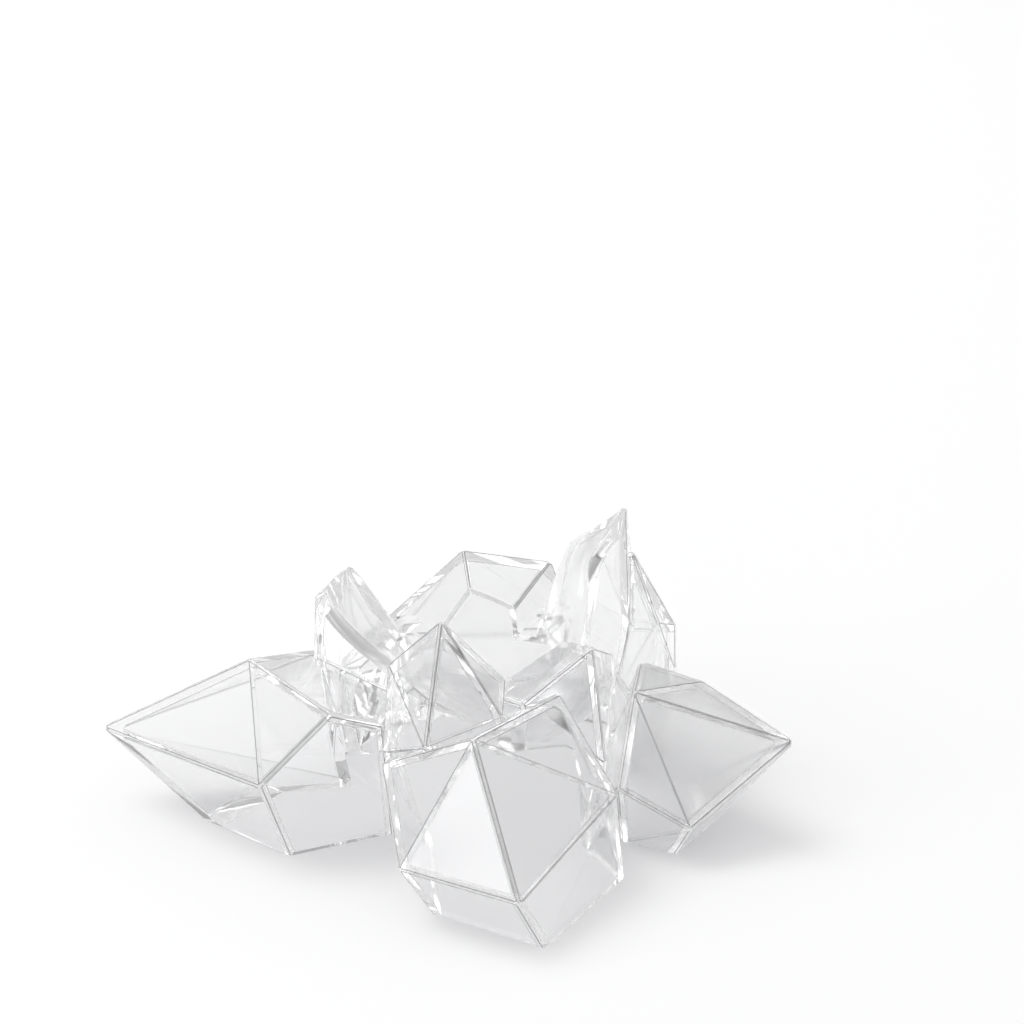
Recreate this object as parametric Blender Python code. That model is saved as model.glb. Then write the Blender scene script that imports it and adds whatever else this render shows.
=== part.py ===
"""Clear moulded stand shaped as a cluster of hollow crystals round a smooth pocket.

The stand is one thin-walled shell. Its outside is a cluster of faceted crystals that run into each
other, its middle is a smooth pocket that leans back, and its underside is open.
Run it with: blender --background --python part.py
"""

import math

import bmesh
import bpy
from mathutils import Vector

# The moulding, in metres
WALL = 0.0026                 # thickness of every wall
RIDGE_RADIUS = 0.0010         # radius of the rounding on every outer ridge and corner
RIDGE_STEPS = 2               # flat steps in that rounding
RIDGE_ALLOWANCE = 0.00025     # facets stand this proud, so that the rounded ridges pass the corners
FLOOR_DROP = 0.003            # how far the crystals run on below the floor before they are sliced
FACET_ANGLE = math.radians(0.3)   # facets closer to flat than this are one facet
SAME_POINT = 0.0001          # corners closer than this are one corner

# How far the outermost corners reach from the drawing's own zero
LEFT_REACH = 0.0925
RIGHT_REACH = 0.0748
FRONT_REACH = 0.0783
REAR_REACH = 0.0580
# Middle of the outline: it becomes the origin
PLAN_MIDDLE = ((RIGHT_REACH - LEFT_REACH) / 2, (REAR_REACH - FRONT_REACH) / 2, 0.0)

# Heights of the crystals' corners above the table, in metres
LEFT_TIP_HEIGHT = 0.0165
LEFT_PEAK_HEIGHT = 0.0424
LEFT_SHOULDER_HEIGHT = 0.0364
LEFT_KEEL_HEIGHT = 0.0208
LEFT_ROOT_HEIGHT = 0.0310
FIN_HEIGHT = 0.0505
FIN_SKIRT_HEIGHT = 0.0370
FRONT_PEAK_HEIGHT = 0.0421
FRONT_BACK_PEAK_HEIGHT = 0.0390
FRONT_LEFT_HEIGHT = 0.0281
FRONT_GIRDLE_HEIGHT = 0.0140
FRONT_LEFT_GIRDLE_HEIGHT = 0.0133
FRONT_RIGHT_HEIGHT = 0.0211
UPPER_PEAK_HEIGHT = 0.0562
UPPER_SHOULDER_HEIGHT = 0.0445
UPPER_SKIRT_HEIGHT = 0.0246
LEDGE_HEIGHT = 0.0462
LEDGE_FRONT_HEIGHT = 0.0379
TALL_PEAK_HEIGHT = 0.0693
TALL_GIRDLE_HEIGHT = 0.0392
SIDE_PEAK_HEIGHT = 0.0579
SIDE_GIRDLE_HEIGHT = 0.0374
SIDE_WAIST_HEIGHT = 0.0391
RIGHT_TIP_HEIGHT = 0.0240
RIGHT_PEAK_HEIGHT = 0.0359
RIGHT_RIM_HEIGHT = 0.0339
RIGHT_KEEL_HEIGHT = 0.0099
REAR_PEAK_HEIGHT = 0.0480
REAR_SHOULDER_HEIGHT = 0.0440
REAR_GIRDLE_HEIGHT = 0.0200
REAR_LEFT_HEIGHT = 0.0180
CORE_LEFT_HEIGHT = 0.0240
CORE_FRONT_HEIGHT = 0.0220
CORE_FRONT_RIGHT_HEIGHT = 0.0260
CORE_SIDE_HEIGHT = 0.0190
CORE_REAR_HEIGHT = 0.0360
CORE_REAR_LEFT_HEIGHT = 0.0340

# The pocket: it leans back, and its sections are measured along the lean from its deepest point
POCKET_LEAN = math.radians(27.0)
POCKET_FOOT = (0.0, -0.0032, 0.0204)
POCKET_ROUNDNESS = 2.4        # 2 is an ellipse, more is squarer
POCKET_SIDES = 40
POCKET_STEPS = 3
# distance along the lean, left side, right side, half thickness
POCKET_SECTIONS = (
    (0.0000, 0.0110, 0.0130, 0.0010),
    (0.0030, 0.0020, 0.0200, 0.0100),
    (0.0070, -0.0060, 0.0246, 0.0145),
    (0.0115, -0.0135, 0.0268, 0.0170),
    (0.0175, -0.0219, 0.0273, 0.0180),
    (0.0257, -0.0315, 0.0270, 0.0190),
    (0.0345, -0.0382, 0.0266, 0.0200),
    (0.0423, -0.0430, 0.0273, 0.0205),
    (0.0525, -0.0500, 0.0342, 0.0205),
    (0.0640, -0.0560, 0.0390, 0.0205),
    (0.0760, -0.0610, 0.0440, 0.0205),
)

# Finish of the clear plastic
PLASTIC_COLOUR = (0.93, 0.94, 0.95, 1.0)
PLASTIC_ROUGHNESS = 0.04


def left_wing():
    """The long crystal whose tip points to the left."""
    return (
        (-LEFT_REACH, 0.0080, LEFT_TIP_HEIGHT),
        (-0.0547, -0.0091, LEFT_PEAK_HEIGHT),
        (-0.0346, -0.0271, LEFT_SHOULDER_HEIGHT),
        (-0.0515, -0.0334, LEFT_KEEL_HEIGHT),
        (-0.0232, -0.0212, LEFT_ROOT_HEIGHT),
        (-0.0200, 0.0016, 0.0275),
        (-0.0402, 0.0144, 0.0339),
        (-0.0667, -0.0094, 0.0),
        (-0.0454, -0.0284, 0.0),
        (-0.0213, -0.0172, 0.0),
        (-0.0540, 0.0080, 0.0),
        (-0.0300, 0.0120, 0.0),
        (-0.0140, 0.0000, 0.0),
    )


def fin():
    """The upright crystal behind the left wing, cut back by the pocket."""
    return (
        (-0.0395, 0.0091, FIN_HEIGHT),
        (-0.0398, 0.0041, FIN_SKIRT_HEIGHT),
        (-0.0229, -0.0004, 0.0301),
        (-0.0128, -0.0031, 0.0260),
        (-0.0220, 0.0107, 0.0617),
        (-0.0060, 0.0040, 0.0450),
        (-0.0340, 0.0060, 0.0),
        (-0.0160, -0.0020, 0.0),
        (-0.0405, 0.0240, 0.0300),
        (-0.0340, 0.0340, 0.0470),
        (-0.0380, 0.0280, 0.0),
        (-0.0140, 0.0320, 0.0),
    )


def upper_front():
    """The pointed crystal in front of the pocket."""
    return (
        (-0.0090, -0.0182, UPPER_PEAK_HEIGHT),
        (-0.0213, -0.0167, UPPER_SHOULDER_HEIGHT),
        (-0.0227, -0.0231, UPPER_SKIRT_HEIGHT),
        (-0.0127, -0.0375, 0.0324),
        (0.0052, -0.0295, 0.0364),
        (0.0059, -0.0161, 0.0398),
        (-0.0080, -0.0040, 0.0400),
        (-0.0200, -0.0040, 0.0300),
        (-0.0180, -0.0160, 0.0),
        (-0.0100, -0.0300, 0.0),
        (0.0060, -0.0260, 0.0),
        (0.0060, -0.0040, 0.0),
        (-0.0160, -0.0020, 0.0),
    )


def lower_front():
    """The large crystal at the very front."""
    return (
        (-0.0015, -0.0524, FRONT_PEAK_HEIGHT),
        (-0.0183, -0.0604, FRONT_LEFT_GIRDLE_HEIGHT),
        (0.0086, -FRONT_REACH, FRONT_GIRDLE_HEIGHT),
        (-0.0107, -0.0568, 0.0),
        (0.0146, -0.0732, 0.0),
        (-0.0227, -0.0364, FRONT_LEFT_HEIGHT),
        (0.0186, -0.0223, FRONT_BACK_PEAK_HEIGHT),
        (0.0318, -0.0391, FRONT_RIGHT_HEIGHT),
        (0.0334, -0.0402, 0.0),
        (-0.0140, -0.0220, 0.0),
        (0.0240, -0.0200, 0.0),
        (0.0280, -0.0180, 0.0160),
        (-0.0180, -0.0200, 0.0220),
    )


def ledge():
    """The crystal with a sloping top between the pocket and the large front crystal."""
    return (
        (0.0199, -0.0070, 0.0456),
        (0.0020, -0.0180, 0.0375),
        (0.0267, -0.0117, LEDGE_HEIGHT),
        (0.0097, -0.0251, LEDGE_FRONT_HEIGHT),
        (0.0296, -0.0230, 0.0211),
        (0.0329, 0.0058, 0.0363),
        (0.0309, -0.0066, 0.0234),
        (0.0080, -0.0200, 0.0),
        (0.0300, -0.0200, 0.0),
        (0.0330, -0.0020, 0.0),
        (0.0120, 0.0000, 0.0),
    )


def tall_right():
    """The tallest crystal, to the right of the pocket."""
    return (
        (0.0358, 0.0208, TALL_PEAK_HEIGHT),
        (0.0100, 0.0065, 0.0620),
        (0.0369, 0.0192, TALL_GIRDLE_HEIGHT),
        (0.0335, 0.0200, 0.0285),
        (0.0300, 0.0440, 0.0520),
        (0.0400, 0.0380, 0.0280),
        (0.0320, 0.0200, 0.0),
        (0.0120, 0.0100, 0.0),
        (0.0380, 0.0400, 0.0),
        (0.0220, 0.0500, 0.0),
    )


def side_right():
    """The shorter crystal beside the tallest one."""
    return (
        (0.0370, 0.0223, SIDE_PEAK_HEIGHT),
        (0.0369, 0.0192, TALL_GIRDLE_HEIGHT),
        (0.0484, 0.0212, SIDE_GIRDLE_HEIGHT),
        (0.0440, 0.0185, SIDE_WAIST_HEIGHT),
        (0.0487, 0.0200, 0.0248),
        (0.0396, 0.0190, 0.0210),
        (0.0330, 0.0190, 0.0180),
        (0.0400, 0.0210, 0.0),
        (0.0280, 0.0210, 0.0),
        (0.0470, 0.0250, 0.0),
        (0.0440, 0.0400, 0.0),
        (0.0280, 0.0400, 0.0),
        (0.0460, 0.0380, 0.0300),
        (0.0350, 0.0390, 0.0300),
    )


def right_wing():
    """The long crystal whose tip points to the right."""
    return (
        (RIGHT_REACH, -0.0178, RIGHT_TIP_HEIGHT),
        (0.0366, -0.0147, RIGHT_PEAK_HEIGHT),
        (0.0536, -0.0049, RIGHT_RIM_HEIGHT),
        (0.0495, -0.0355, RIGHT_KEEL_HEIGHT),
        (0.0465, -0.0283, 0.0),
        (0.0562, -0.0125, 0.0),
        (0.0327, -0.0266, 0.0164),
        (0.0342, -0.0224, 0.0),
        (0.0400, 0.0220, 0.0270),
        (0.0540, 0.0060, 0.0),
        (0.0380, 0.0180, 0.0),
        (0.0260, 0.0000, 0.0),
    )


def rear():
    """The broad crystal behind the pocket."""
    return (
        (-0.0040, 0.0440, REAR_PEAK_HEIGHT),
        (0.0180, 0.0460, REAR_SHOULDER_HEIGHT),
        (-0.0220, 0.0540, REAR_GIRDLE_HEIGHT),
        (0.0240, REAR_REACH, REAR_GIRDLE_HEIGHT),
        (-0.0380, 0.0380, REAR_LEFT_HEIGHT),
        (-0.0280, 0.0440, 0.0),
        (-0.0060, 0.0520, 0.0),
        (0.0220, 0.0510, 0.0),
        (0.0340, 0.0360, 0.0),
        (-0.0340, 0.0280, 0.0),
        (0.0000, 0.0080, 0.0),
        (0.0000, 0.0100, 0.0350),
    )


def core():
    """The low crystal in the middle, which closes the pocket's bottom and ties the others together."""
    return (
        (-0.0290, -0.0010, CORE_LEFT_HEIGHT),
        (-0.0130, -0.0280, CORE_FRONT_HEIGHT),
        (0.0200, -0.0280, CORE_FRONT_RIGHT_HEIGHT),
        (0.0410, 0.0070, CORE_SIDE_HEIGHT),
        (0.0230, 0.0380, CORE_REAR_HEIGHT),
        (-0.0210, 0.0350, CORE_REAR_LEFT_HEIGHT),
        (-0.0310, -0.0020, 0.0),
        (-0.0080, -0.0320, 0.0),
        (0.0220, -0.0300, 0.0),
        (0.0430, 0.0070, 0.0),
        (0.0240, 0.0430, 0.0),
        (-0.0220, 0.0400, 0.0),
    )


CRYSTALS = {
    "left_wing": left_wing,
    "fin": fin,
    "upper_front": upper_front,
    "lower_front": lower_front,
    "ledge": ledge,
    "tall_right": tall_right,
    "side_right": side_right,
    "right_wing": right_wing,
    "rear": rear,
    "core": core,
}


def clear_scene():
    """Remove every object that the scene starts with."""
    for obj in list(bpy.data.objects):
        bpy.data.objects.remove(obj, do_unlink=True)


def clear_plastic():
    """Return the glossy, colourless plastic of the moulding."""
    material = bpy.data.materials.new("clear_plastic")
    material.use_nodes = True
    shader = material.node_tree.nodes["Principled BSDF"]
    shader.inputs["Base Color"].default_value = PLASTIC_COLOUR
    shader.inputs["Roughness"].default_value = PLASTIC_ROUGHNESS
    shader.inputs["Metallic"].default_value = 0.0
    shader.inputs["Transmission Weight"].default_value = 0.9
    return material


def new_object(name, bm):
    """Put a finished bmesh in the scene under the given name."""
    mesh = bpy.data.meshes.new(name)
    bm.to_mesh(mesh)
    bm.free()
    obj = bpy.data.objects.new(name, mesh)
    bpy.context.collection.objects.link(obj)
    return obj


def as_cutter(obj):
    """Keep a helper shape out of the finished model."""
    obj.hide_render = True
    obj.display_type = "WIRE"
    return obj


def tight_skin(points):
    """Stretch a closed skin round a cloud of points."""
    bm = bmesh.new()
    for point in points:
        bm.verts.new(point)
    hull = bmesh.ops.convex_hull(bm, input=bm.verts)
    inner = [item for item in hull["geom_interior"] if isinstance(item, bmesh.types.BMVert)]
    bmesh.ops.delete(bm, geom=inner, context="VERTS")
    return bm


def facets_of(corners):
    """Return a point and an outward normal for each facet of the crystal with the given corners."""
    bm = tight_skin([Vector(corner) - Vector(PLAN_MIDDLE) for corner in corners])
    bmesh.ops.dissolve_limit(bm, angle_limit=FACET_ANGLE, verts=bm.verts, edges=bm.edges)
    bmesh.ops.recalc_face_normals(bm, faces=bm.faces)
    facets = [(face.calc_center_median(), face.normal.copy()) for face in bm.faces]
    bm.free()
    return facets


def cut_crystal(corners, inset):
    """Cut a block down to a crystal whose facets lie inset behind their real places.

    The crystal runs on below the floor, where the finished stand is sliced flat.
    """
    size = 2.0 * max(Vector(corner).length for corner in corners)
    block = bmesh.new()
    bmesh.ops.create_cube(block, size=2.0 * size)
    for point, normal in facets_of(corners):
        on_floor = point.z < SAME_POINT
        depth = inset - WALL - FLOOR_DROP if on_floor else inset
        cut = bmesh.ops.bisect_plane(
            block, geom=block.verts[:] + block.edges[:] + block.faces[:], dist=SAME_POINT / 10,
            plane_co=point - normal * depth, plane_no=normal, clear_outer=True)
        rim = [item for item in cut["geom_cut"] if isinstance(item, bmesh.types.BMEdge)]
        if rim:
            bmesh.ops.contextual_create(block, geom=rim)
    bmesh.ops.remove_doubles(block, verts=block.verts, dist=SAME_POINT)
    bmesh.ops.recalc_face_normals(block, faces=block.faces)
    return block


def rounded(core_shape, radius):
    """Return a crystal whose ridges and corners are rounded by radius.

    The given shape is the crystal less radius all round. A ball sits on each of its corners, and the
    new skin is stretched round the parts of the balls that face outwards.
    """
    points = []
    for corner in core_shape.verts:
        ways = [facet.normal for facet in corner.link_faces]
        for ridge in corner.link_edges:
            first, second = (facet.normal for facet in ridge.link_faces)
            ways += [first.slerp(second, step / RIDGE_STEPS) for step in range(1, RIDGE_STEPS)]
        points += [corner.co + way * radius for way in ways]
    core_shape.free()
    return tight_skin(points)


def smooth_rows(rows, steps):
    """Return rows that pass through the given ones on a smooth curve."""
    result = []
    last = len(rows) - 1
    for index in range(last):
        before, here, after, beyond = (rows[min(max(index + k, 0), last)] for k in (-1, 0, 1, 2))
        for step in range(steps):
            t = step / steps
            result.append(tuple(
                0.5 * (2 * b + (c - a) * t + (2 * a - 5 * b + 4 * c - d) * t * t
                       + (3 * b - a - 3 * c + d) * t ** 3)
                for a, b, c, d in zip(before, here, after, beyond)))
    result.append(rows[last])
    return result


def grip(grow):
    """Return the pocket's space, made larger all round by grow."""
    up = Vector((0.0, math.sin(POCKET_LEAN), math.cos(POCKET_LEAN)))
    front = Vector((0.0, -math.cos(POCKET_LEAN), math.sin(POCKET_LEAN)))
    side = Vector((1.0, 0.0, 0.0))
    foot = Vector(POCKET_FOOT) - Vector(PLAN_MIDDLE)
    bm = bmesh.new()
    rings = []
    rows = smooth_rows(POCKET_SECTIONS, POCKET_STEPS)
    reach = rows[-1][0] - rows[0][0]
    for along, left, right, thick in rows:
        middle = (left + right) / 2
        half = (right - left) / 2 + grow
        depth = thick + grow
        height = along - grow * (1 - along / reach)
        ring = []
        for k in range(POCKET_SIDES):
            turn = 2 * math.pi * k / POCKET_SIDES
            c, s = math.cos(turn), math.sin(turn)
            power = 2 / POCKET_ROUNDNESS
            x = middle + half * math.copysign(abs(c) ** power, c)
            n = depth * math.copysign(abs(s) ** power, s)
            ring.append(bm.verts.new(foot + side * x + front * n + up * height))
        rings.append(ring)
    for lower, upper in zip(rings, rings[1:]):
        for k in range(POCKET_SIDES):
            j = (k + 1) % POCKET_SIDES
            bm.faces.new((lower[k], lower[j], upper[j], upper[k]))
    bm.faces.new(list(reversed(rings[0])))
    bm.faces.new(rings[-1])
    bmesh.ops.recalc_face_normals(bm, faces=bm.faces)
    return bm


def as_set(name, objects):
    """Put helper shapes in a collection of their own, so that one Boolean takes them all."""
    helpers = bpy.data.collections.new(name)
    bpy.context.scene.collection.children.link(helpers)
    for obj in objects:
        helpers.objects.link(as_cutter(obj))
        bpy.context.collection.objects.unlink(obj)
    return helpers


def combine(target, helpers, operation):
    """Add a Boolean modifier that joins helper shapes to the target or cuts them away.

    The facets of neighbouring crystals nearly touch, and only this solver keeps such slivers closed.
    """
    modifier = target.modifiers.new(operation.lower() + "_" + helpers.name, "BOOLEAN")
    modifier.operand_type = "COLLECTION"
    modifier.collection = helpers
    modifier.operation = operation
    modifier.solver = "MANIFOLD"


def under_floor():
    """Return a block that lies below the floor and reaches past the whole stand."""
    bm = bmesh.new()
    bmesh.ops.create_cube(bm, size=1.0)
    width = 2.0 * (LEFT_REACH + RIGHT_REACH)
    bmesh.ops.scale(bm, vec=(width, width, 2.0 * TALL_PEAK_HEIGHT), verts=bm.verts)
    bmesh.ops.translate(bm, vec=(0.0, 0.0, -TALL_PEAK_HEIGHT), verts=bm.verts)
    return bm


def build_stand():
    """Join the crystals, hollow them out and sink the pocket into them."""
    solids = []
    rooms = []
    for name, corners in CRYSTALS.items():
        core_shape = cut_crystal(corners(), RIDGE_RADIUS - RIDGE_ALLOWANCE)
        solids.append(new_object("crystal_" + name, rounded(core_shape, RIDGE_RADIUS)))
        rooms.append(new_object("room_" + name, cut_crystal(corners(), WALL - RIDGE_ALLOWANCE)))
    stand, inside = solids[0], rooms[0]
    stand.name = "crystal_stand"
    combine(inside, as_set("other_rooms", rooms[1:]), "UNION")
    combine(inside, as_set("pocket_walls", [new_object("pocket_wall", grip(WALL))]), "DIFFERENCE")
    cutters = [inside, new_object("pocket", grip(0.0)), new_object("under_floor", under_floor())]
    combine(stand, as_set("other_crystals", solids[1:]), "UNION")
    combine(stand, as_set("inner_cuts", cutters), "DIFFERENCE")
    stand.data.materials.append(clear_plastic())
    return stand


clear_scene()
build_stand()
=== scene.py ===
# %% [markdown]
# # A clear crystal stand
#
# The real object is one clear moulding: a cluster of hollow, faceted crystals that run into each
# other, with a smooth pocket in the middle that leans back. Nothing is painted and nothing is
# screwed on, so everything that the eye sees is the wall itself: flat facets, rounded ridges edged
# by fine lines, and whatever shows through from behind. The lesson is therefore about shape first.
# A clear material only looks right when the wall is really there, inside and outside.

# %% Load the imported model
import math

import bpy
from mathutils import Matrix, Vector


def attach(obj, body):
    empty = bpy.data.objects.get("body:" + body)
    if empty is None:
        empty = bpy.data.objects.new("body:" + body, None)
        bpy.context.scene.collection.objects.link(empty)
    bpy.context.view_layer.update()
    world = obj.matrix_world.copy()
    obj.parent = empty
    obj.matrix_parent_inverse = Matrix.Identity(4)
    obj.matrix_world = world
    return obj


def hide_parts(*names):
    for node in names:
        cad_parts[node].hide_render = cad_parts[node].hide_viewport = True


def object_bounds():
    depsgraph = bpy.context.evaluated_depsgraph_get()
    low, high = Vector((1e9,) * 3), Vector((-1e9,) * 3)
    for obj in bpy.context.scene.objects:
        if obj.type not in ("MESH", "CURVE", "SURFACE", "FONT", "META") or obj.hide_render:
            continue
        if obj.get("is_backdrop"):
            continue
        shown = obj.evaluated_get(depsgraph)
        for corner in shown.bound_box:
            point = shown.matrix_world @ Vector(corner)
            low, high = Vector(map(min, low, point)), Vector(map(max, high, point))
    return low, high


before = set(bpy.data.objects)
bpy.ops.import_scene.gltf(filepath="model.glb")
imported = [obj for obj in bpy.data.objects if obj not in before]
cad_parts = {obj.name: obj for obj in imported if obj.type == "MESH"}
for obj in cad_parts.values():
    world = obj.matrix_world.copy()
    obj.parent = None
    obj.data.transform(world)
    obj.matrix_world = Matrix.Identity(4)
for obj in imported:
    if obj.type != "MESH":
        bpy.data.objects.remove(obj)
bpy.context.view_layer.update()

# %% [markdown]
# ## The camera
#
# The photograph was taken from a little less than a metre away, looking down on the table. The
# camera could be aimed with a Track To constraint, but two plain angles are easier to read and stay
# put: a pitch below the horizon and a very small turn to the right.

# %% Place the camera
MM = 0.001
PLAN_MIDDLE = Vector((-8.85, -10.15, 0.0)) * MM     # the middle of the outline, made the origin
CAMERA_PLACE = Vector((0.0, -729.7, 371.8)) * MM - PLAN_MIDDLE
CAMERA_PITCH = math.radians(22.05)
CAMERA_TURN = math.radians(0.6165)
CAMERA_LENS = 116.9
SENSOR_WIDTH = 36.0
NEAREST_SEEN = 10.0 * MM

camera_data = bpy.data.cameras.new("photo_camera")
camera_data.lens = CAMERA_LENS
camera_data.sensor_width = SENSOR_WIDTH
camera_data.clip_start = NEAREST_SEEN
camera = bpy.data.objects.new("photo_camera", camera_data)
camera.location = CAMERA_PLACE
camera.rotation_euler = (math.pi / 2 - CAMERA_PITCH, 0.0, -CAMERA_TURN)
bpy.context.scene.collection.objects.link(camera)
bpy.context.scene.camera = camera
bpy.context.scene.view_settings.view_transform = "Standard"
print("camera at", [round(value, 3) for value in camera.location])

# %% [markdown]
# ## Light that has been mirrored too often
#
# A ray inside clear plastic can be mirrored many times over. A renderer follows a few of these
# reflections, then gives up and returns black, which would fill the ridges with soot. Tracing
# deeper is the honest cure but a slow one. So a ray that has been mirrored four times gets the
# level of the room instead, by a little emission that no other ray sees.

# %% Close the deepest light paths
MOST_MIRRORS = 4


def grey(level):
    """Return a plain grey as a colour."""
    return (level, level, level, 1.0)


def close_deep_paths(tree, shader, level, tone=None):
    """Give light paths that were mirrored too often the level of the room, where they'd be black.

    A tone from 0 to 1 that changes over the surface may scale the level.
    """
    path = tree.nodes.new("ShaderNodeLightPath")
    deep = tree.nodes.new("ShaderNodeMath")
    deep.operation = "GREATER_THAN"
    deep.inputs[1].default_value = MOST_MIRRORS - 0.5
    tree.links.new(path.outputs["Glossy Depth"], deep.inputs[0])
    share = deep.outputs["Value"]
    if tone is not None:
        scaled = tree.nodes.new("ShaderNodeMath")
        scaled.operation = "MULTIPLY"
        tree.links.new(share, scaled.inputs[0])
        tree.links.new(tone, scaled.inputs[1])
        share = scaled.outputs["Value"]
    glow = tree.nodes.new("ShaderNodeMix")
    glow.data_type = "RGBA"
    glow.inputs["A"].default_value = grey(0.0)
    glow.inputs["B"].default_value = grey(level)
    tree.links.new(share, glow.inputs["Factor"])
    tree.links.new(glow.outputs["Result"], shader.inputs["Emission Color"])
    shader.inputs["Emission Strength"].default_value = 1.0


print("rays mirrored", MOST_MIRRORS, "times or more get the level of the room")

# %% [markdown]
# ## The table
#
# The stand was photographed on a white sheet that fills the picture, so the table is one plain,
# matt, nearly white plane. It keeps the object's shadow, which says more about clear plastic than
# its reflections do. It lies a hair below the rim that rests on it, because two faces in the same
# place would flicker.

# %% Make the table
TABLE_SIZE = 12.0
TABLE_MIDDLE = 2.0      # how far behind the stand its middle lies, as the camera looks that way
TABLE_GAP = 0.05 * MM
TABLE_WHITE = (0.955, 0.955, 0.957, 1.0)
TABLE_ROUGHNESS = 0.8
TABLE_DEEP_LEVEL = 0.4
bpy.ops.object.select_all(action="DESELECT")
bpy.ops.mesh.primitive_plane_add(size=TABLE_SIZE, location=(0.0, TABLE_MIDDLE, -TABLE_GAP))
table = bpy.context.object
table.name = "table"
table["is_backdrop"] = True

table_paint = bpy.data.materials.new("white_table")
table_paint.use_nodes = True
table_shader = table_paint.node_tree.nodes["Principled BSDF"]
table_shader.inputs["Base Color"].default_value = TABLE_WHITE
table_shader.inputs["Roughness"].default_value = TABLE_ROUGHNESS
table_shader.inputs["Specular IOR Level"].default_value = 0.0
close_deep_paths(table_paint.node_tree, table_shader, TABLE_DEEP_LEVEL)
table.data.materials.append(table_paint)
print("table of", TABLE_SIZE, "m,", round(TABLE_GAP / MM, 3), "mm below the rim")

# %% [markdown]
# ## The room
#
# Clear plastic has no colour of its own: it shows what is behind it and mirrors the room on top. A
# room that is equally white all round would make it vanish. This one is a grey gradient, brighter
# overhead than at the horizon, and a little darker behind the camera than behind the stand.

# %% Make the soft room light
HORIZON = 0.34
CEILING = 0.58
CEILING_START = 0.9     # how steeply up the ceiling's level begins, with 1 straight up
CAMERA_SIDE = 0.64
FAR_SIDE_START = 0.6    # how far round the far side's level begins, with 1 behind the stand


def fit_range(tree, value, before, after):
    """Stretch a value from one range to another, and return it."""
    fitted = tree.nodes.new("ShaderNodeMapRange")
    for name, number in zip(("From Min", "From Max", "To Min", "To Max"), before + after):
        fitted.inputs[name].default_value = number
    tree.links.new(value, fitted.inputs["Value"])
    return fitted.outputs["Result"]


world = bpy.data.worlds.new("soft_room")
world.use_nodes = True
bpy.context.scene.world = world
room_tree = world.node_tree
place = room_tree.nodes.new("ShaderNodeTexCoord")
split = room_tree.nodes.new("ShaderNodeSeparateXYZ")
room_tree.links.new(place.outputs["Generated"], split.inputs[0])
height_ramp = room_tree.nodes.new("ShaderNodeValToRGB")
stops = ((0.0, HORIZON), (CEILING_START, CEILING))
for stop, (position, level) in zip(height_ramp.color_ramp.elements, stops):
    stop.position = position
    stop.color = grey(level)
room_tree.links.new(split.outputs["Z"], height_ramp.inputs["Fac"])
side = fit_range(room_tree, split.outputs["Y"], (-1.0, FAR_SIDE_START), (CAMERA_SIDE, 1.0))
shade = room_tree.nodes.new("ShaderNodeMix")
shade.data_type = "RGBA"
shade.blend_type = "MULTIPLY"
shade.inputs["Factor"].default_value = 1.0
room_tree.links.new(height_ramp.outputs["Color"], shade.inputs["A"])
room_tree.links.new(side, shade.inputs["B"])
background = room_tree.nodes["Background"]
room_tree.links.new(shade.outputs["Result"], background.inputs["Color"])
background.inputs["Strength"].default_value = 1.0
print("room from", HORIZON, "at the horizon to", CEILING, "overhead")

# %% [markdown]
# ## The soft boxes
#
# One large box, high up behind on the left, gives most of the light and throws the soft shadow to
# the right. The low ones light little. They are there to be mirrored: each stands where certain
# facets look, so that neighbouring facets come out in different greys and the ridge between them
# shows. A product photographer places white cards round glass for the same reason.

# %% Hang the lamps
# turn and rise in degrees, distance, width and height in metres, and how brightly it glows
SOFT_BOXES = {
    "left_box": (-97.0, 27.0, 3.6, 3.7, 2.2, 0.5),
    "corner_box": (-118.0, 20.0, 3.4, 1.1, 1.0, 2.6),
    "front_box": (-162.0, 14.0, 3.6, 1.2, 0.9, 2.8),
    "right_box": (98.0, 15.0, 3.9, 2.8, 1.6, 0.9),
    "top_box": (-58.0, 57.0, 4.5, 2.7, 2.3, 6.9),
}


def soft_box(name, turn, rise, away, width, height, glow):
    """Hang a soft box that looks at the stand. Turn 0 is behind the stand, 90 is on its right."""
    data = bpy.data.lights.new(name, "AREA")
    data.shape = "RECTANGLE"
    data.size = width
    data.size_y = height
    data.energy = glow * math.pi * width * height
    lamp = bpy.data.objects.new(name, data)
    turn, rise = math.radians(turn), math.radians(rise)
    lamp.location = away * Vector((math.sin(turn) * math.cos(rise), math.cos(turn) * math.cos(rise),
                                   math.sin(rise)))
    lamp.rotation_euler = (-lamp.location).to_track_quat("-Z", "Y").to_euler()
    bpy.context.scene.collection.objects.link(lamp)
    print(name, "at", [round(value, 2) for value in lamp.location])


for box_name, numbers in SOFT_BOXES.items():
    soft_box(box_name, *numbers)

# %% [markdown]
# ## The moulding's sizes
#
# These are the mould maker's values. The wall is the same everywhere, as moulded plastic needs to
# be. The outer ridges have a radius of a millimetre, and the inner ones half of that. A rounded
# corner ends short of the sharp one, so the facets stand a quarter of a millimetre proud.

# %% Name the sizes
WALL = 2.6 * MM
RIDGE_RADIUS = 1.0 * MM
RIDGE_ALLOWANCE = 0.25 * MM
RIDGE_STEPS = 5
ROOM_RADIUS = 0.5 * MM
ROOM_STEPS = 3
FLOOR_DROP = 3.0 * MM               # how far the crystals run on below the table at first
FACET_ANGLE = math.radians(0.3)     # facets closer to flat than this are one facet
SAME_POINT = 0.1 * MM               # corners closer than this are one corner
print("wall", WALL / MM, "mm, outer ridges", RIDGE_RADIUS / MM, "mm, inner ridges",
      ROOM_RADIUS / MM, "mm")

# %% [markdown]
# ## The crystals' corners
#
# Each crystal is the simplest solid that its corners allow: a skin stretched tightly round them.
# So a crystal is drawn by its corners alone, in millimetres, and every flat facet follows.

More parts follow.
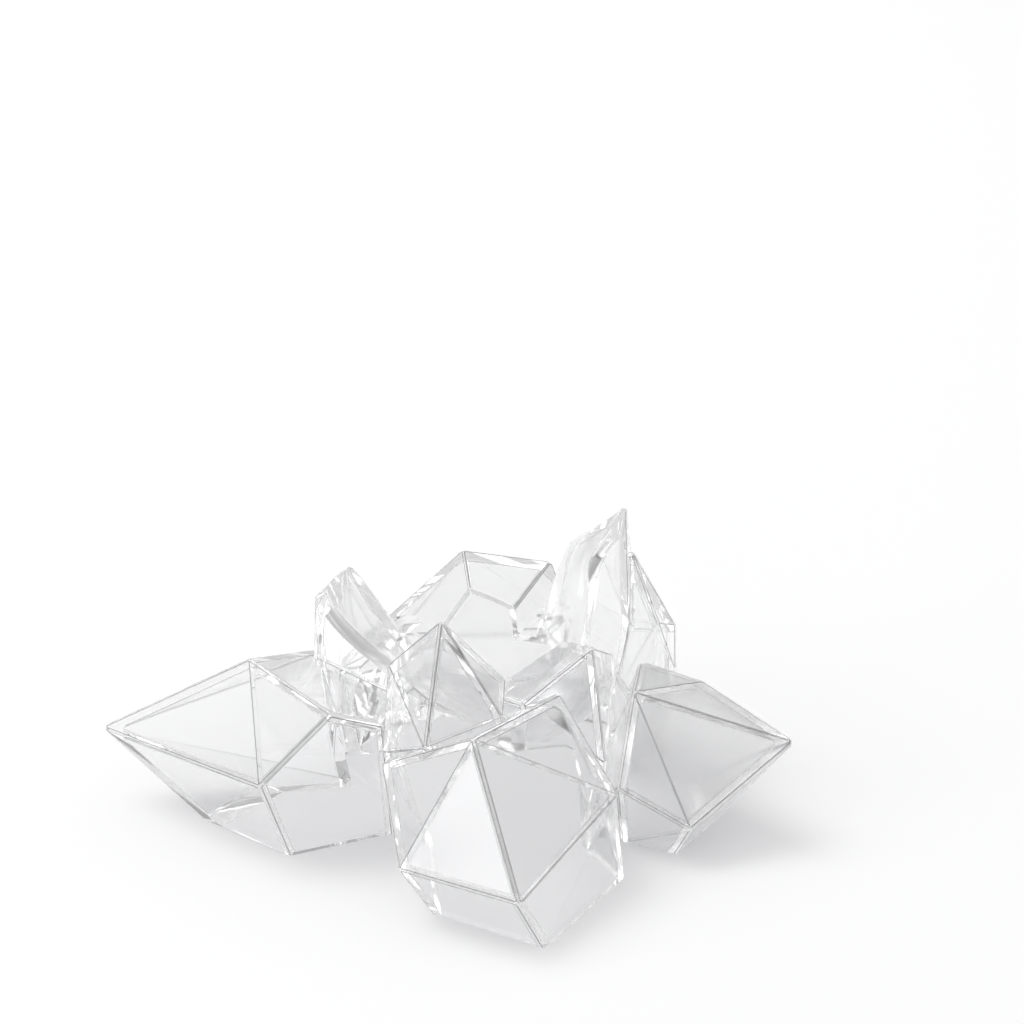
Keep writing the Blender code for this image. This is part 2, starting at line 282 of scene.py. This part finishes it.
# %% List the corners
CRYSTAL_CORNERS = {
    "left_wing": [
        (-92.5, 8, 16.5), (-54.7, -9.1, 42.4), (-34.6, -27.1, 36.4), (-51.5, -33.4, 20.8),
        (-23.2, -21.2, 31), (-20, 1.6, 27.5), (-40.2, 14.4, 33.9), (-66.7, -9.4, 0),
        (-45.4, -28.4, 0), (-21.3, -17.2, 0), (-54, 8, 0), (-30, 12, 0), (-14, 0, 0),
    ],
    "fin": [
        (-39.5, 9.1, 50.5), (-39.8, 4.1, 37), (-22.9, -0.4, 30.1), (-12.8, -3.1, 26),
        (-22, 10.7, 61.7), (-6, 4, 45), (-34, 6, 0), (-16, -2, 0), (-40.5, 24, 30),
        (-34, 34, 47), (-38, 28, 0), (-14, 32, 0),
    ],
    "upper_front": [
        (-9, -18.2, 56.2), (-21.3, -16.7, 44.5), (-22.7, -23.1, 24.6), (-12.7, -37.5, 32.4),
        (5.2, -29.5, 36.4), (5.9, -16.1, 39.8), (-8, -4, 40), (-20, -4, 30), (-18, -16, 0),
        (-10, -30, 0), (6, -26, 0), (6, -4, 0), (-16, -2, 0),
    ],
    "lower_front": [
        (-1.5, -52.4, 42.1), (-18.3, -60.4, 13.3), (8.6, -78.3, 14), (-10.7, -56.8, 0),
        (14.6, -73.2, 0), (-22.7, -36.4, 28.1), (18.6, -22.3, 39), (31.8, -39.1, 21.1),
        (33.4, -40.2, 0), (-14, -22, 0), (24, -20, 0), (28, -18, 16), (-18, -20, 22),
    ],
    "ledge": [
        (19.9, -7, 45.6), (2, -18, 37.5), (26.7, -11.7, 46.2), (9.7, -25.1, 37.9),
        (29.6, -23, 21.1), (32.9, 5.8, 36.3), (30.9, -6.6, 23.4), (8, -20, 0), (30, -20, 0),
        (33, -2, 0), (12, 0, 0),
    ],
    "tall_right": [
        (35.8, 20.8, 69.3), (10, 6.5, 62), (36.9, 19.2, 39.2), (33.5, 20, 28.5), (30, 44, 52),
        (40, 38, 28), (32, 20, 0), (12, 10, 0), (38, 40, 0), (22, 50, 0),
    ],
    "side_right": [
        (37, 22.3, 57.9), (36.9, 19.2, 39.2), (48.4, 21.2, 37.4), (44, 18.5, 39.1),
        (48.7, 20, 24.8), (39.6, 19, 21), (33, 19, 18), (40, 21, 0), (28, 21, 0), (47, 25, 0),
        (44, 40, 0), (28, 40, 0), (46, 38, 30), (35, 39, 30),
    ],
    "right_wing": [
        (74.8, -17.8, 24), (36.6, -14.7, 35.9), (53.6, -4.9, 33.9), (49.5, -35.5, 9.9),
        (46.5, -28.3, 0), (56.2, -12.5, 0), (32.7, -26.6, 16.4), (34.2, -22.4, 0), (40, 22, 27),
        (54, 6, 0), (38, 18, 0), (26, 0, 0),
    ],
    "rear": [
        (-4, 44, 48), (18, 46, 44), (-22, 54, 20), (24, 58, 20), (-38, 38, 18), (-28, 44, 0),
        (-6, 52, 0), (22, 51, 0), (34, 36, 0), (-34, 28, 0), (0, 8, 0), (0, 10, 35),
    ],
    "core": [
        (-29, -1, 24), (-13, -28, 22), (20, -28, 26), (41, 7, 19), (23, 38, 36), (-21, 35, 34),
        (-31, -2, 0), (-8, -32, 0), (22, -30, 0), (43, 7, 0), (24, 43, 0), (-22, 40, 0),
    ],
}

print(len(CRYSTAL_CORNERS), "crystals,", sum(map(len, CRYSTAL_CORNERS.values())), "corners")

# %% [markdown]
# ## A few helpers
#
# Modelling operators work on what is selected, so every step picks its objects first. A tight skin
# round a few points is Blender's Convex Hull, and its flat facets are found by dissolving the edges
# between triangles that lie in one plane.

# %% Helpers for picking and finishing objects
def pick(*pieces):
    """Select only these objects, and work on the first."""
    bpy.ops.object.select_all(action="DESELECT")
    for piece in pieces:
        piece.select_set(True)
    bpy.context.view_layer.objects.active = pieces[0]


def edit(piece):
    """Open one object for editing with everything in it selected."""
    pick(piece)
    bpy.ops.object.mode_set(mode="EDIT")
    bpy.ops.mesh.select_all(action="SELECT")


def leave():
    """Close the object that is open for editing."""
    bpy.ops.object.mode_set(mode="OBJECT")


def face_outwards():
    """Turn every face of the object that is open for editing outwards."""
    bpy.ops.mesh.select_all(action="SELECT")
    bpy.ops.mesh.normals_make_consistent(inside=False)


print("ready to pick, open and close objects")

# %% Stretch a skin and read its facets
def tight_skin(name, points):
    """Stretch a closed skin round a cloud of points."""
    mesh = bpy.data.meshes.new(name)
    mesh.from_pydata(points, [], [])
    skin = bpy.data.objects.new(name, mesh)
    bpy.context.scene.collection.objects.link(skin)
    edit(skin)
    bpy.ops.mesh.convex_hull(join_triangles=False)
    face_outwards()
    leave()
    return skin


def facets_of(corners):
    """Return the middle and the outward direction of each facet between the corners."""
    skin = tight_skin("skin", [Vector(corner) * MM - PLAN_MIDDLE for corner in corners])
    edit(skin)
    bpy.ops.mesh.dissolve_limited(angle_limit=FACET_ANGLE)
    leave()
    facets = [(face.center.copy(), face.normal.copy()) for face in skin.data.polygons]
    bpy.data.objects.remove(skin)
    return facets


print("the left wing has", len(facets_of(CRYSTAL_CORNERS["left_wing"])), "facets")

# %% [markdown]
# ## Cutting a crystal
#
# A facet could be drawn polygon by polygon, but a gem cutter's way gives both faces of the wall
# from one drawing: take a block, and cut away everything in front of each facet's plane. With the
# planes in their real places this gives the outside. With every plane moved in by the wall's
# thickness it gives the hollow room inside, and the wall between them is even however the facets
# lean.

# %% Cut a block down to its facets
BLOCK = 600.0 * MM
CUT_TOLERANCE = SAME_POINT / 10


def cut_crystal(name, facets, inset):
    """Cut a block by every facet's plane, moved in by inset, and run it on below the table."""
    bpy.ops.object.select_all(action="DESELECT")
    bpy.ops.mesh.primitive_cube_add(size=BLOCK)
    crystal = bpy.context.object
    crystal.name = name
    bpy.ops.object.mode_set(mode="EDIT")
    for middle, outward in facets:
        depth = inset - WALL - FLOOR_DROP if middle.z < SAME_POINT else inset
        bpy.ops.mesh.select_all(action="SELECT")
        bpy.ops.mesh.bisect(plane_co=middle - outward * depth, plane_no=outward,
                            use_fill=True, clear_outer=True, threshold=CUT_TOLERANCE)
    bpy.ops.mesh.select_all(action="SELECT")
    bpy.ops.mesh.remove_doubles(threshold=SAME_POINT)
    face_outwards()
    leave()
    return crystal


print("block of", round(BLOCK / MM), "mm ready to cut")

# %% [markdown]
# ## Rounding the ridges
#
# The Bevel modifier is the usual way to round a ridge, but where the shortest edge is only a few
# millimetres long it makes every ridge thinner. A rolling ball does better. The crystal is cut too
# small by the ball's radius, a ball is set on each of its corners, and a skin is stretched round
# all the balls. Every ridge then has the same radius, and no facet moves.

# %% Round a crystal with a rolling ball
def rounded(core, radius, steps):
    """Stretch a skin round balls that sit on the corners of a crystal, and return it.

    The crystal that goes in is too small by radius all round, so its facets end in their real
    places.
    """
    around = [[] for corner in core.data.vertices]
    beside = {edge.key: [] for edge in core.data.edges}
    for face in core.data.polygons:
        for corner in face.vertices:
            around[corner].append(face.normal)
        for key in face.edge_keys:
            beside[key].append(face.normal)
    for (start, end), (first, second) in beside.items():
        between = [first.slerp(second, step / steps) for step in range(1, steps)]
        around[start] += between
        around[end] += between
    points = [corner.co + way * radius
              for corner, ways in zip(core.data.vertices, around) for way in ways]
    skin = tight_skin(core.name, points)
    bpy.data.objects.remove(core)
    return skin


print("balls of", RIDGE_RADIUS / MM, "mm outside and", ROOM_RADIUS / MM, "mm inside")

# %% [markdown]
# ## Marking ridges and dull crystals
#
# In clear plastic a rounded ridge reads as a pale band between two fine grey lines, one along each
# border, where the surface starts to turn. Here the grey of these lines is painted shade, put into
# the plastic's colour through a mark on the faces. The plastic could find its ridges by their
# curvature, but a mark on each face is surer, and it stays with the face through all the cuts that
# follow. A second mark says what is dull: the right wing is satin, so that what lies behind it
# blurs, the lower front crystal is slightly misty, and the pocket is a little satin too, because it
# is rubbed in use.

# %% Mark the faces
RIDGE_MARK = "ridge"
HAZE_MARK = "haze"
CRYSTAL_HAZE = {"right_wing": 1.0, "lower_front": 0.2}
POCKET_HAZE = 0.6
# mark values for the outer and inner ridges: they set how dark the painted shade lines are and how
# rough the ridge is
OUTSIDE_LINE = 1.0
ROOM_LINE = 0.8
RIDGE_TURN = math.radians(1.2)      # a face turned further than this from its facet is a ridge
LINE_WIDTH = 0.25 * MM
LINE_SHARE = 0.4                    # a line never takes more of the ridge's turn than this


def mark_haze(shape, haze):
    """Write the same haze mark on every face of a shape."""
    for dull in shape.data.attributes.new(HAZE_MARK, "FLOAT", "FACE").data:
        dull.value = haze


def mark_ridges(crystal, facets, radius, line_mark):
    """Mark each face: 0 on a facet, line_mark along a ridge's borders and half of it between."""
    marks = crystal.data.attributes.new(RIDGE_MARK, "FLOAT", "FACE").data
    for face, mark in zip(crystal.data.polygons, marks):
        nearest, second = sorted(face.normal.angle(outward) for middle, outward in facets)[:2]
        if nearest > RIDGE_TURN:
            narrow = nearest * radius < LINE_WIDTH
            border = narrow and nearest < LINE_SHARE * (nearest + second)
            mark.value = line_mark if border else line_mark / 2


print("dull crystals:", CRYSTAL_HAZE)

# %% [markdown]
# ## The ten crystals and their rooms
#
# Every crystal of the real moulding has the same wall, so all of them go through the same steps:
# read the facets, cut the outside and the room behind it, round both and mark their faces. A
# Solidify modifier on the joined outside could make the walls too, but where crystals meet at sharp
# angles its inner skin would fold into itself.

# %% Cut the outsides and the rooms
solids, rooms = [], []
for crystal_name, corners in CRYSTAL_CORNERS.items():
    facets = facets_of(corners)
    solid_core = cut_crystal("solid_" + crystal_name, facets, RIDGE_RADIUS - RIDGE_ALLOWANCE)
    solid = rounded(solid_core, RIDGE_RADIUS, RIDGE_STEPS)
    mark_ridges(solid, facets, RIDGE_RADIUS, OUTSIDE_LINE)
    room_core = cut_crystal("room_" + crystal_name, facets, WALL - RIDGE_ALLOWANCE + ROOM_RADIUS)
    room = rounded(room_core, ROOM_RADIUS, ROOM_STEPS)
    mark_ridges(room, facets, ROOM_RADIUS, ROOM_LINE)
    for shape in (solid, room):
        mark_haze(shape, CRYSTAL_HAZE.get(crystal_name, 0.0))
    solids.append(solid)
    rooms.append(room)
print("cut", len(solids), "crystals with", sum(len(s.data.polygons) for s in solids), "faces")

# %% [markdown]
# ## The pocket
#
# The pocket leans back. It is widest at the mouth, narrows and turns to one side on the way down,
# and ends in a round bottom. It could be sculpted, but a stack of rounded outlines is surer: one
# ring is drawn, then extruded and scaled section by section, as on a lathe whose profile isn't
# round.

# %% Name the pocket's sections
POCKET_LEAN = math.radians(27.0)
POCKET_FOOT = Vector((0.0, -3.2, 20.4)) * MM - PLAN_MIDDLE
POCKET_ROUNDNESS = 2.4      # 2 is an ellipse, more is squarer
POCKET_SIDES = 96
POCKET_STEPS = 5
# distance along the lean, left side, right side, half thickness, all in millimetres
POCKET_SECTIONS = (
    (0.0, 11.0, 13.0, 1.0),
    (3.0, 2.0, 20.0, 10.0),
    (7.0, -6.0, 24.6, 14.5),
    (11.5, -13.5, 26.8, 17.0),
    (17.5, -21.9, 27.3, 18.0),
    (25.7, -31.5, 27.0, 19.0),
    (34.5, -38.2, 26.6, 20.0),
    (42.3, -43.0, 27.3, 20.5),
    (52.5, -50.0, 34.2, 20.5),
    (64.0, -56.0, 39.0, 20.5),
    (76.0, -61.0, 44.0, 20.5),
)


def smooth_rows(rows, steps):
    """Return rows that pass through the given ones on a smooth curve."""
    result = []
    last = len(rows) - 1
    for index in range(last):
        before, here, after, beyond = (rows[min(max(index + k, 0), last)] for k in (-1, 0, 1, 2))
        for step in range(steps):
            t = step / steps
            result.append(tuple(
                0.5 * (2 * b + (c - a) * t + (2 * a - 5 * b + 4 * c - d) * t * t
                       + (3 * b - a - 3 * c + d) * t ** 3)
                for a, b, c, d in zip(before, here, after, beyond)))
    result.append(rows[last])
    return result


pocket_rows = smooth_rows([tuple(value * MM for value in row) for row in POCKET_SECTIONS],
                          POCKET_STEPS)
print(len(POCKET_SECTIONS), "sections make", len(pocket_rows), "rings")

# %% [markdown]
# ## Raising the pocket
#
# The pocket is made twice, once as the space itself and once larger by the wall. The larger one is
# kept out of the hollow later on, and what is left between the two is the pocket's own wall. It is
# raised upright, which keeps the sums plain, and leans back only at the end.

# %% Raise the pocket ring by ring
def flatten_ring(ring, middle, half, deep, height):
    """Shape a circle of radius 1 into the pocket's rounded outline at a height."""
    power = 2 / POCKET_ROUNDNESS
    for point in ring.data.vertices:
        turn = math.atan2(point.co.y, point.co.x)
        c, s = math.cos(turn), math.sin(turn)
        point.co = (middle + half * math.copysign(abs(c) ** power, c),
                    deep * math.copysign(abs(s) ** power, s), height)


def lean_back(shape):
    """Turn the upright pocket backwards by its lean and set it on its foot."""
    for point in shape.data.vertices:
        upright = point.co.copy()
        point.co = POCKET_FOOT + Vector((
            upright.x,
            -upright.y * math.cos(POCKET_LEAN) + upright.z * math.sin(POCKET_LEAN),
            upright.y * math.sin(POCKET_LEAN) + upright.z * math.cos(POCKET_LEAN)))


def raise_pocket(name, grow):
    """Model the pocket's space, made larger all round by grow."""
    reach = pocket_rows[-1][0]
    sections = [((left + right) / 2, (right - left) / 2 + grow, thick + grow,
                 along - grow * (1 - along / reach)) for along, left, right, thick in pocket_rows]
    bpy.ops.object.select_all(action="DESELECT")
    bpy.ops.mesh.primitive_circle_add(vertices=POCKET_SIDES, radius=1.0, fill_type="NGON")
    shape = bpy.context.object
    shape.name = name
    flatten_ring(shape, *sections[0])
    edit(shape)
    for (m0, h0, d0, z0), (m1, h1, d1, z1) in zip(sections, sections[1:]):
        bpy.ops.mesh.extrude_region_move(TRANSFORM_OT_translate={"value": (m1 - m0, 0.0, z1 - z0)})
        bpy.ops.transform.resize(value=(h1 / h0, d1 / d0, 1.0), center_override=(m1, 0.0, z1))
    face_outwards()
    leave()
    lean_back(shape)
    edit(shape)
    face_outwards()
    leave()
    mark_haze(shape, POCKET_HAZE)
    print(name, len(shape.data.polygons), "faces,", [round(d / MM, 1) for d in shape.dimensions])
    return shape


pocket = raise_pocket("pocket", 0.0)
pocket_wall = raise_pocket("pocket_wall", WALL)

# %% [markdown]
# ## Joining everything into one moulding
#
# Boolean modifiers do what the mould does. All crystals are joined into one outside, all rooms into
# one hollow. The pocket's own wall is kept out of the hollow, and the hollow and the pocket are
# then cut away. The ridges were rounded before the join, so the valleys between two crystals stay
# crisp, as they are where two faces of a steel mould meet.

# %% Join and cut
def boolean(target, helpers, operation):
    """Join helper shapes to the target, or cut them away, and apply the result."""
    group = bpy.data.collections.new("helpers")
    bpy.context.scene.collection.children.link(group)
    for helper in helpers:
        group.objects.link(helper)
    modifier = target.modifiers.new(operation.lower(), "BOOLEAN")
    modifier.operand_type = "COLLECTION"
    modifier.collection = group
    modifier.operation = operation
    modifier.solver = "MANIFOLD"
    pick(target)
    bpy.ops.object.modifier_apply(modifier=modifier.name)
    for helper in helpers:
        bpy.data.objects.remove(helper)
    bpy.data.collections.remove(group)


hollow = rooms[0]
boolean(hollow, rooms[1:], "UNION")
boolean(hollow, [pocket_wall], "DIFFERENCE")
moulding = solids[0]
moulding.name = "clear_moulding"
boolean(moulding, solids[1:], "UNION")
boolean(moulding, [hollow, pocket], "DIFFERENCE")
print("joined moulding has", len(moulding.data.polygons), "faces")

# %% [markdown]
# ## The flat underside
#
# The stand rests on the rims of its walls and is open below: a mould's core has to come out
# somewhere. So all crystals and rooms were run on below the table, and one cut at table height
# leaves the rims flat and exactly level. The rims are no ridges, so their marks are wiped.

# %% Slice the underside flat
SLICE_TOLERANCE = SAME_POINT / 100
edit(moulding)
bpy.ops.mesh.bisect(plane_co=(0.0, 0.0, 0.0), plane_no=(0.0, 0.0, -1.0), use_fill=True,
                    clear_outer=True, threshold=SLICE_TOLERANCE)
leave()
marks = moulding.data.attributes[RIDGE_MARK].data
for face, mark in zip(moulding.data.polygons, marks):
    if abs(face.center.z) < SAME_POINT:
        mark.value = 0.0
widest = max(face.area for face, mark in zip(moulding.data.polygons, marks) if mark.value > 0)
print(sum(mark.value > 0 for mark in marks), "faces lie on ridges, the widest is",
      round(widest / MM ** 2, 1), "square mm")
print("sliced moulding has", len(moulding.data.polygons), "faces, lowest point",
      round(min(point.co.z for point in moulding.data.vertices) / MM, 3), "mm")

# %% [markdown]
# ## Smooth shading that keeps the facets flat
#
# A rounded ridge is a few narrow strips. Smooth shading blends them, but it also bends the light on
# the big facets beside them, which would ruin a crystal. The Weighted Normal modifier cures that: a
# large face keeps its own direction, and only the strips between turn.

# %% Shade the moulding
SMOOTH_ANGLE = math.radians(24.0)
LARGE_FACE_WEIGHT = 100
pick(moulding)
bpy.ops.object.shade_smooth_by_angle(angle=SMOOTH_ANGLE)
weighted = moulding.modifiers.new("flat_facets", "WEIGHTED_NORMAL")
weighted.keep_sharp = True
weighted.weight = LARGE_FACE_WEIGHT
bpy.ops.object.modifier_apply(modifier=weighted.name)
print("smooth up to", round(math.degrees(SMOOTH_ANGLE)), "degrees, facets weighted by their area")

# %% [markdown]
# ## The clear plastic
#
# The plastic is colourless and polished, and transmission with its own index of refraction does most
# of the work. A real moulding is never optically perfect, though. The melt leaves very slow waves in
# the facets, handling leaves a faint haze, and the satin crystals are rougher still. Noise on the
# object's own coordinates and the marks on the faces give all of these, so they stay on the part
# when it turns. The ridge mark also paints shade: it darkens the fine lines along a ridge's borders
# in the plastic's colour, and it makes the whole ridge rougher, the borders most.

# %% Start the clear plastic
PLASTIC_IOR = 1.5
clear_plastic = bpy.data.materials.new("clear_plastic")
clear_plastic.use_nodes = True
plastic = clear_plastic.node_tree
shader = plastic.nodes["Principled BSDF"]
shader.inputs["Metallic"].default_value = 0.0
shader.inputs["Transmission Weight"].default_value = 1.0
shader.inputs["IOR"].default_value = PLASTIC_IOR
where = plastic.nodes.new("ShaderNodeTexCoord").outputs["Object"]


def noise(scale, detail):
    """Return a noise that sits on the object."""
    texture = plastic.nodes.new("ShaderNodeTexNoise")
    texture.inputs["Scale"].default_value = scale
    texture.inputs["Detail"].default_value = detail
    plastic.links.new(where, texture.inputs["Vector"])
    return texture.outputs["Fac"]


def mark_on_faces(name):
    """Return a mark that was written on the faces."""
    mark = plastic.nodes.new("ShaderNodeAttribute")
    mark.attribute_name = name
    return mark.outputs["Fac"]


def add_share(value, share, base):
    """Return a base with a share of a value on top."""
    total = plastic.nodes.new("ShaderNodeMath")
    total.operation = "MULTIPLY_ADD"
    total.inputs[1].default_value = share
    plastic.links.new(value, total.inputs[0])
    plastic.links.new(base, total.inputs[2])
    return total.outputs["Value"]


print("clear plastic with an index of refraction of", PLASTIC_IOR)

# %% [markdown]
# ## Tint, haze and waves
#
# One noise drives both the tint and the haze, so the plastic is dullest where it is darkest. The
# fine lines along the ridges get a painted shade, a grey mixed into the plastic's colour. The waves
# could be modelled, but they are far too shallow for that, and a Bump node bends the light just as
# well.

# %% Tint, roughen and wave the surface
HAZE_SCALE, HAZE_DETAIL = 60.0, 2.0
HAZE_RANGE = (0.35, 0.75)
HAZE_ROUGHNESS = 0.03
LIGHTER_TINT = (0.98, 0.981, 0.983, 1.0)
DARKER_TINT = (0.955, 0.956, 0.958, 1.0)
# the grey painted into the ridges' border lines as shade, and the ridge mark from which the painted
# shade begins
RIDGE_SHADE_GREY = 0.2
LINE_START = 0.6        # ridge marks above this are lines
SATIN_ROUGHNESS = 0.25
RIDGE_ROUGHNESS = 0.35
WAVE_SCALE, WAVE_DETAIL = 28.0, 1.0
WAVE_STRENGTH = 0.06
WAVE_HEIGHT = 0.5 * MM

haze = noise(HAZE_SCALE, HAZE_DETAIL)
tint = plastic.nodes.new("ShaderNodeMix")
tint.data_type = "RGBA"
tint.inputs["A"].default_value = LIGHTER_TINT
tint.inputs["B"].default_value = DARKER_TINT
plastic.links.new(haze, tint.inputs["Factor"])
ridge = mark_on_faces(RIDGE_MARK)
# painted shade: faces whose ridge mark passes LINE_START get the plastic's colour mixed towards grey
ridge_shade_mix = plastic.nodes.new("ShaderNodeMix")
ridge_shade_mix.data_type = "RGBA"
ridge_shade_mix.inputs["B"].default_value = grey(RIDGE_SHADE_GREY)
shade_line_mask = fit_range(plastic, ridge, (LINE_START, 1.0), (0.0, 1.0))
plastic.links.new(shade_line_mask, ridge_shade_mix.inputs["Factor"])
plastic.links.new(tint.outputs["Result"], ridge_shade_mix.inputs["A"])
plastic.links.new(ridge_shade_mix.outputs["Result"], shader.inputs["Base Color"])

handled = fit_range(plastic, haze, HAZE_RANGE, (0.0, HAZE_ROUGHNESS))
satin = add_share(mark_on_faces(HAZE_MARK), SATIN_ROUGHNESS, handled)
plastic.links.new(add_share(ridge, RIDGE_ROUGHNESS, satin), shader.inputs["Roughness"])

waves = plastic.nodes.new("ShaderNodeBump")
waves.inputs["Strength"].default_value = WAVE_STRENGTH
waves.inputs["Distance"].default_value = WAVE_HEIGHT
plastic.links.new(noise(WAVE_SCALE, WAVE_DETAIL), waves.inputs["Height"])
plastic.links.new(waves.outputs["Normal"], shader.inputs["Normal"])
print("roughness up to", HAZE_ROUGHNESS, "on a facet and", RIDGE_ROUGHNESS, "on a ridge")

# %% [markdown]
# ## Light through the plastic
#
# Rays that were mirrored too often get a level that glints a little, as crossing ridges do. Light
# on its way from a lamp would need true caustics to pass through the walls. Instead, shadow rays
# and the table's own soft light go straight through and lose a little at every surface, so the
# table inside and behind the stand is lit as it is in the photograph.

# %% Let the light through
DEEP_GLOW = 0.42
GLINT_SCALE, GLINT_DETAIL = 260.0, 2.0
GLINT_RANGE = (0.40, 0.68)
DIMMEST_GLINT = 0.8
PASSING_LIGHT = (0.88, 0.88, 0.884, 1.0)

glints = fit_range(plastic, noise(GLINT_SCALE, GLINT_DETAIL), GLINT_RANGE, (DIMMEST_GLINT, 1.0))
close_deep_paths(plastic, shader, DEEP_GLOW, glints)
path = plastic.nodes.new("ShaderNodeLightPath")
soft_ray = plastic.nodes.new("ShaderNodeMath")
soft_ray.operation = "MAXIMUM"
plastic.links.new(path.outputs["Is Shadow Ray"], soft_ray.inputs[0])
plastic.links.new(path.outputs["Is Diffuse Ray"], soft_ray.inputs[1])
passing = plastic.nodes.new("ShaderNodeBsdfTransparent")
passing.inputs["Color"].default_value = PASSING_LIGHT
choice = plastic.nodes.new("ShaderNodeMixShader")
plastic.links.new(soft_ray.outputs["Value"], choice.inputs["Fac"])
plastic.links.new(shader.outputs["BSDF"], choice.inputs[1])
plastic.links.new(passing.outputs["BSDF"], choice.inputs[2])
plastic.links.new(choice.outputs["Shader"], plastic.nodes["Material Output"].inputs["Surface"])
moulding.data.materials.clear()
moulding.data.materials.append(clear_plastic)
print("clear plastic with", len(plastic.nodes), "nodes")

# %% [markdown]
# ## Into the shared frame
#
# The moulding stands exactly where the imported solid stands, so it rides on the same body and takes
# its place.

# %% Put the moulding in the frame
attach(moulding, "root")
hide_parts("crystal_stand")
print(moulding.name, "stands for", "crystal_stand")

# %% [markdown]
# ## Last measure
#
# The finished model must be as large as the solid one. Its span is printed.

# %% Measure and finish
visual_low, visual_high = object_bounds()
spans = [round(high - low, 4) for low, high in zip(visual_low, visual_high)]
print("the finished model spans", spans)
